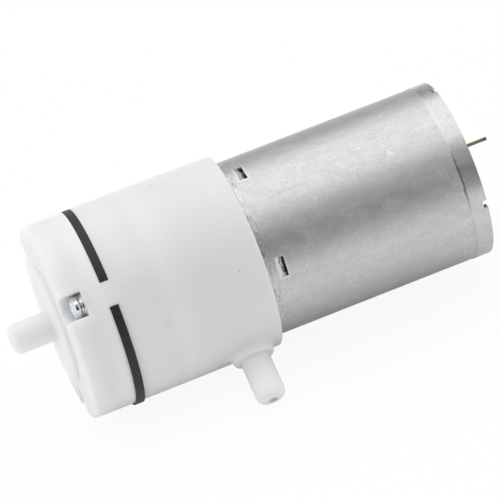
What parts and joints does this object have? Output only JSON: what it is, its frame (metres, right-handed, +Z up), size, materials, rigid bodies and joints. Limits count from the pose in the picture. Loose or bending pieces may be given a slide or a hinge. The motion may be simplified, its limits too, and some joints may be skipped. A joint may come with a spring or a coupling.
{
  "type": "micro vacuum pump",
  "caption": "Small round diaphragm vacuum pump on a steel-cased DC motor, with a front nozzle and a side nozzle; its motor shaft turns and its rocker wobbles.",
  "frame": {"origin": "on the pump axis, at the rear face of the head, where the motor can comes out of it", "axes": "+X along the pump axis towards the motor's terminals, -X along the front nozzle, +Z up, with the side nozzle pointing down and towards -Y, as the pump lies on a table"},
  "size_m": [0.068, 0.031, 0.0278],
  "materials": {
    "white_plastic": "moulded, fine satin",
    "crankcase_plastic": "moulded, fine satin, slightly warmer",
    "grey_plastic": "moulded",
    "black_plastic": "moulded",
    "black_rubber": "moulded rubber sheet",
    "valve_rubber": "moulded rubber",
    "screw_steel": "bright nickel plated",
    "can_steel": "zinc plated, drawn and scuffed",
    "ground_steel": "ground",
    "spring_steel": "rolled strip",
    "lamination_steel": "stamped sheets",
    "sintered_bronze": "sintered, oiled",
    "brass": "stamped strip",
    "copper": "turned",
    "copper_wire": "enamelled wire",
    "ferrite": "sintered, ground",
    "ceramic": "fired ceramic",
    "carbon": "pressed carbon and copper"
  },
  "bodies": {
    "pump_body": {"front_cover": "white_plastic", "valve_plate": "white_plastic", "inlet_valves": "valve_rubber", "outlet_valve": "valve_rubber", "diaphragm": "black_rubber", "diaphragm_seat": "white_plastic", "crankcase": "crankcase_plastic", "head_screws": "screw_steel", "spring_washers": "screw_steel", "screw_washers": "screw_steel", "motor_screws": "screw_steel", "motor_can": "can_steel", "front_bearing": "sintered_bronze", "rear_bearing": "sintered_bronze", "magnets": "ferrite", "magnet_clips": "spring_steel", "end_cap": "black_plastic", "brush_arms": "brass", "brushes": "carbon", "terminals": "brass"},
    "rotor": {"shaft": "ground_steel", "armature_core": "lamination_steel", "windings": "copper_wire", "commutator_hub": "black_plastic", "commutator_segments": "copper", "varistor": "ceramic", "shaft_spacers": "black_plastic", "eccentric": "black_plastic", "drive_pin": "ground_steel"},
    "rocker": {"rocker": "grey_plastic"}
  },
  "joints": [
    {"name": "motor_spin", "type": "hinge", "parent": "pump_body", "child": "rotor", "pos_m": [0, 0, 0], "axis": [1, 0, 0], "continuous": true},
    {"name": "rocker_wobble", "type": "hinge", "parent": "rotor", "child": "rocker", "pos_m": [-0.014, 0, 0], "axis": [0.9955, 0, -0.0948], "continuous": true, "deforming": ["diaphragm"]}
  ],
  "couplings": [
    {"joint": "rocker_wobble", "follows": "motor_spin", "ratio": -1}
  ]
}
